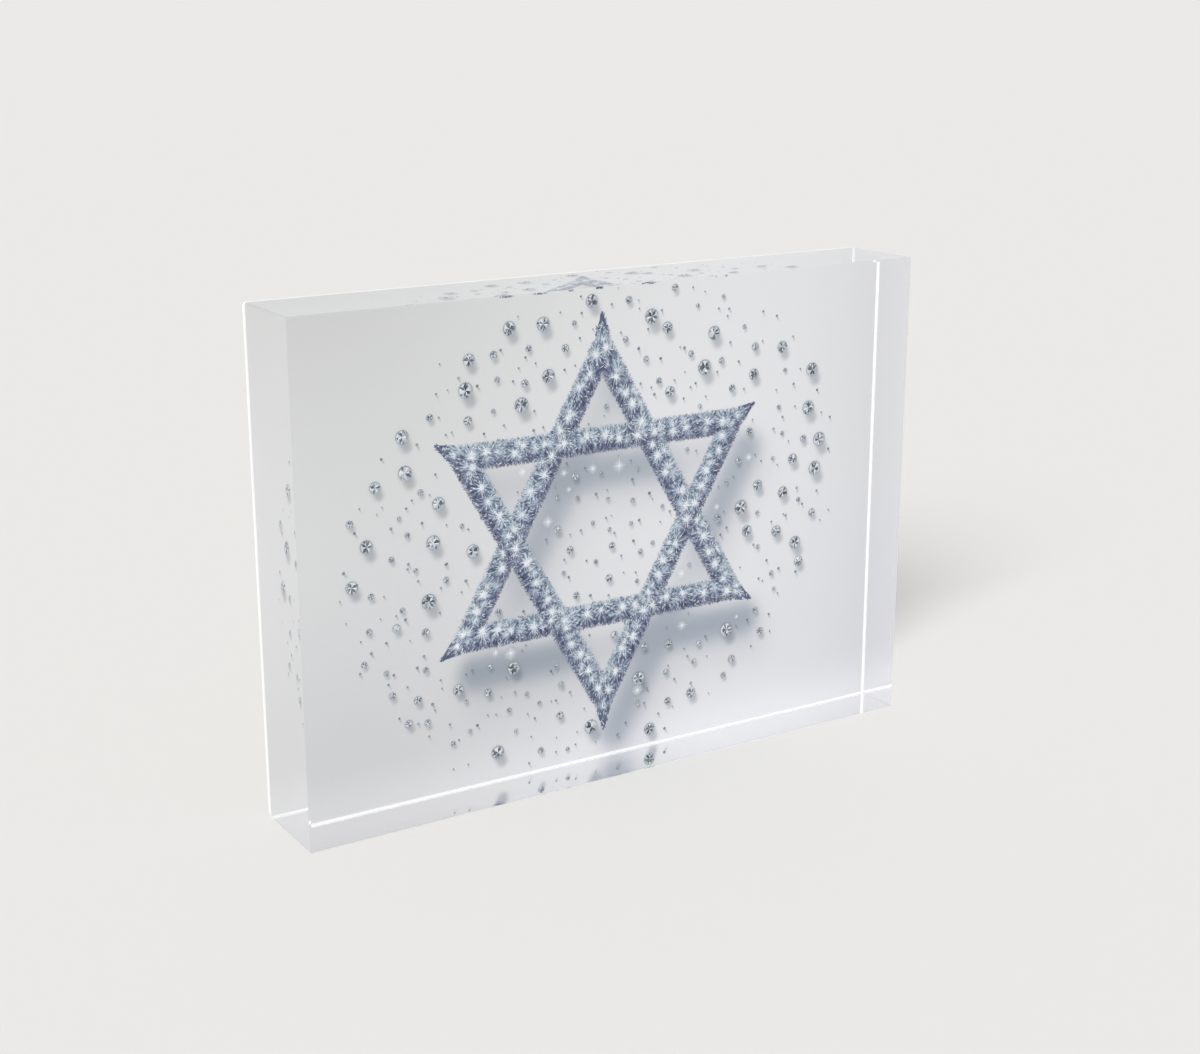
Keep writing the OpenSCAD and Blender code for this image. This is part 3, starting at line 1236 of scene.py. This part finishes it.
class PHOTO_BLOCK_OT_dust(Operator):
    """Fine dark specks with short tails between the stones, and soft white glints round the star"""

    bl_idname = "photo_block.dust"
    bl_label = "Dust and glints"

    def execute(self, context):
        scene = context.scene
        draw = np.random.default_rng(seed=37)
        self.add_specks(scene, draw)
        self.add_glints(scene, draw)
        return {"FINISHED"}

    def speck_places(self, scene, draw):
        """A second sunflower spiral over the field, strayed, less what lies on the star or a stone."""
        number = scene.dust_look.specks
        points = sunflower(scene.stone_look, number, swell=1.02, start=0.7)
        points = points + lengths(draw, (-3, 3), (number, 2))
        clear = past_picture(points, scene) > 0.9 * MM
        return points[clear & on_print(points, 1.5 * MM)]

    def add_specks(self, scene, draw):
        """Dark specks, mostly small, whose rims fade into the print, each with a faint tail down to the
        right."""
        look = scene.dust_look
        points = self.speck_places(scene, draw)
        number = len(points)
        mostly_small = 1.5
        large = draw.uniform(0, 1, number) ** mostly_small
        d = look.speck_d + (look.speck_d_max - look.speck_d) * large
        ground = printed_ground(points, scene)
        tail_shade = 0.66
        tail = np.repeat(ground[:, None], ROOF_POINTS, 1)
        tail[:, (TAIL, RIDGE)] *= tail_shade
        grey = draw.uniform(0.5, 1.2, (number, 1))
        ink = np.array(scene.stone_look.dark) * (1 - grey) + np.array(scene.stone_look.grey) * grey
        around = 6
        rim_ink, rim_ground = 0.55, 0.45
        speck = np.repeat(ink[:, None], 2 * around + 1, 1)
        speck[:, around + 1 :] = (ink * rim_ink + ground * rim_ground)[:, None]
        down_right = math.radians(-66)
        sway = draw.normal(0, 0.07, number)
        patches = [
            roofs(
                points,
                down_right + sway,
                inner=0.1 * d,
                widest=0.9 * d,
                outer=(1.9 + draw.uniform(0, 0.8, number)) * d,
                half_width=0.5 * d,
                lift=0.0,
                values=tail.reshape(-1, 3),
            ),
            gems(
                points,
                d / 2,
                draw.uniform(0, np.pi, number),
                around,
                lift=0.009 * MM,
                values=speck.reshape(-1, 3),
            ),
        ]
        material = ink_material("dust_ink", roughness=0.45, grain=0.03)
        add_inked("stone_dust", *joined(patches), material, "stone_print")

    def glint_places(self, scene, draw):
        """Places just below the bands that cast the shadow, evenly but for a stray, less what lies on
        the star or a stone."""
        casting = np.array((1, 2, 3, 5))
        half_run = 0.8
        number = scene.dust_look.glints
        step, side = np.divmod(np.arange(number), len(casting))
        along = step + draw.uniform(0, 1, number)
        along = 2 * half_run * along / (number / len(casting)) - half_run
        below = draw.uniform(1.4, 3.0, number)
        points = on_band(casting[side], along, below, scene.star_look.band)
        return points[past_picture(points, scene) > 1.2 * MM]

    def add_glints(self, scene, draw):
        """Soft white glints: a glow that fades into the print, with four long fine rays and four short
        ones between them."""
        middles = self.glint_places(scene, draw)
        number = len(middles)
        radii = lengths(draw, (0.8, 2.1), number)
        white = np.array(scene.star_look.white)
        ground = printed_ground(middles, scene)
        around = 12
        core_white, core_ground = 0.8, 0.2
        ring_white, ring_ground = 0.3, 0.7
        glow = np.repeat(ground[:, None], 2 * around + 1, 1)
        glow[:, 0] = core_white * white + core_ground * ground
        glow[:, 1 : around + 1] = (ring_white * white + ring_ground * ground)[:, None]
        spokes = 8
        which = np.repeat(np.arange(number), spokes)
        spoke = np.tile(np.arange(spokes), number)
        ray = np.repeat(ground[which][:, None], ROOF_POINTS, 1)
        ray[:, (TAIL, RIDGE)] = white
        r = radii[which]
        long, short = 1.9, 1.0
        reach = np.where(spoke % 2 == 0, long, short) * draw.uniform(0.7, 1.2, len(which))
        patches = [
            gems(
                middles,
                radii,
                np.zeros(number),
                around,
                lift=0.026 * MM,
                values=glow.reshape(-1, 3),
                table=0.4,
            ),
            roofs(
                middles[which],
                spoke * 2 * np.pi / spokes,
                inner=0.0,
                widest=0.25 * r,
                outer=reach * r,
                half_width=0.09 * r,
                lift=0.028 * MM,
                values=ray.reshape(-1, 3),
            ),
        ]
        material = ink_material("glint_ink", roughness=0.4, grain=0.01)
        add_inked("star_glints", *joined(patches), material, "star_print")


class PHOTO_BLOCK_OT_backing(Operator):
    """Finish of the adhesive tape and the white backing panel"""

    bl_idname = "photo_block.backing"
    bl_label = "Backing"

    def execute(self, context):
        look = context.scene.back_look
        tape = sheet_material("adhesive_tape", look.tape, grain_scale=900.0, roughness=0.5)
        panel = sheet_material("white_panel", look.panel, grain_scale=1400.0, roughness=0.42)
        dress_node("backing_tape", tape)
        dress_node("backing_panel", panel)
        return {"FINISHED"}


def surround(look):
    """Even light for what scatters it, and a plain pale surround for what mirrors or bends it."""
    world = bpy.data.worlds.new("studio")
    world.use_nodes = True
    tree = world.node_tree
    light = tree.nodes["Background"]
    light.inputs["Color"].default_value = (1.0, 1.0, 1.0, 1.0)
    light.inputs["Strength"].default_value = look.fill
    seen = add_node(tree, "ShaderNodeBackground", {"Color": (*look.sky, 1.0), "Strength": 1.0})
    mix_by_ray(
        tree,
        ("Is Camera Ray", "Is Glossy Ray", "Is Transmission Ray"),
        light.outputs["Background"],
        seen.outputs["Background"],
        "World Output",
    )
    return world


class PHOTO_BLOCK_OT_stage(Operator):
    """Plain pale floor, soft light and the camera"""

    bl_idname = "photo_block.stage"
    bl_label = "Stage"

    def execute(self, context):
        scene = context.scene
        look = scene.stage_look
        scene.view_settings.view_transform = "Standard"
        scene.world = surround(look)
        self.add_floor(scene, look)
        self.add_lamp(scene, look)
        self.add_camera(scene, look)
        return {"FINISHED"}

    def add_floor(self, scene, look):
        """One square, a hair below the block so that air stays between them."""
        half = 60.0
        low = -0.05 * MM
        corners = [(-half, -half, low), (half, -half, low), (half, half, low), (-half, half, low)]
        mesh = bpy.data.meshes.new("floor")
        mesh.from_pydata(corners, [], [(0, 1, 2, 3)])
        material, _, shader = new_material("pale_floor")
        shader.inputs["Base Color"].default_value = (*look.floor, 1.0)
        shader.inputs["Roughness"].default_value = 0.8
        shader.inputs["Specular IOR Level"].default_value = 0.2
        mesh.materials.append(material)
        floor = bpy.data.objects.new("floor", mesh)
        scene.collection.objects.link(floor)

    def add_lamp(self, scene, look):
        """One soft sun, up to the left in front of the block, so that the floor is lit evenly."""
        lamp = bpy.data.lights.new("key", "SUN")
        lamp.energy = look.key
        lamp.angle = look.key_spread
        key = bpy.data.objects.new("key", lamp)
        key.location = (-1.39, -0.87, 1.21)
        aim = Vector((0, 0, MIDDLE_Z)) - key.location
        key.rotation_euler = aim.to_track_quat("-Z", "Y").to_euler()
        scene.collection.objects.link(key)

    def add_camera(self, scene, look):
        """Camera on a sphere round a point close to the block's middle, looking at it."""
        view = bpy.data.cameras.new("camera")
        view.sensor_fit = "HORIZONTAL"
        view.sensor_width = 36.0
        view.lens = look.lens
        view.clip_start = 0.01
        view.clip_end = 120.0
        camera = bpy.data.objects.new("camera", view)
        level = math.cos(look.elevation)
        back = Vector(
            (
                math.sin(look.azimuth) * level,
                -math.cos(look.azimuth) * level,
                math.sin(look.elevation),
            )
        )
        aim_left, aim_down = 0.73 * MM, 0.11 * MM
        aim = Vector((-aim_left, 0, MIDDLE_Z - aim_down))
        camera.location = aim + back * look.distance
        camera.rotation_euler = (-back).to_track_quat("-Z", "Y").to_euler()
        scene.collection.objects.link(camera)
        scene.camera = camera


class PHOTO_BLOCK_PT_panel(Panel):
    """Lists the pieces of the photo block"""

    bl_label = "Photo Block"
    bl_idname = "PHOTO_BLOCK_PT_panel"
    bl_space_type = "VIEW_3D"
    bl_region_type = "UI"
    bl_category = "Photo Block"

    def draw(self, context):
        for operator in OPERATORS:
            self.layout.operator(operator.bl_idname)


LOOKS = {
    "clear_block_look": ClearBlockLook,
    "print_look": PrintLook,
    "star_look": StarLook,
    "stone_look": StoneLook,
    "dust_look": DustLook,
    "back_look": BackLook,
    "stage_look": StageLook,
}
OPERATORS = (
    PHOTO_BLOCK_OT_clear_block,
    PHOTO_BLOCK_OT_print_sheet,
    PHOTO_BLOCK_OT_star,
    PHOTO_BLOCK_OT_stones,
    PHOTO_BLOCK_OT_dust,
    PHOTO_BLOCK_OT_backing,
    PHOTO_BLOCK_OT_stage,
)


def register():
    """Registers the settings, the operators and the panel."""
    for name, group in LOOKS.items():
        bpy.utils.register_class(group)
        setattr(bpy.types.Scene, name, PointerProperty(type=group))
    for kind in (*OPERATORS, PHOTO_BLOCK_PT_panel):
        bpy.utils.register_class(kind)


def unregister():
    """Takes back what register did, in reverse."""
    for kind in reversed((*OPERATORS, PHOTO_BLOCK_PT_panel)):
        bpy.utils.unregister_class(kind)
    for name, group in reversed(LOOKS.items()):
        delattr(bpy.types.Scene, name)
        bpy.utils.unregister_class(group)


def main():
    """Builds every piece in order."""
    register()
    bpy.ops.photo_block.clear_block()
    bpy.ops.photo_block.print_sheet()
    bpy.ops.photo_block.star()
    bpy.ops.photo_block.stones()
    bpy.ops.photo_block.dust()
    bpy.ops.photo_block.backing()
    bpy.ops.photo_block.stage()


if __name__ == "__main__":
    main()
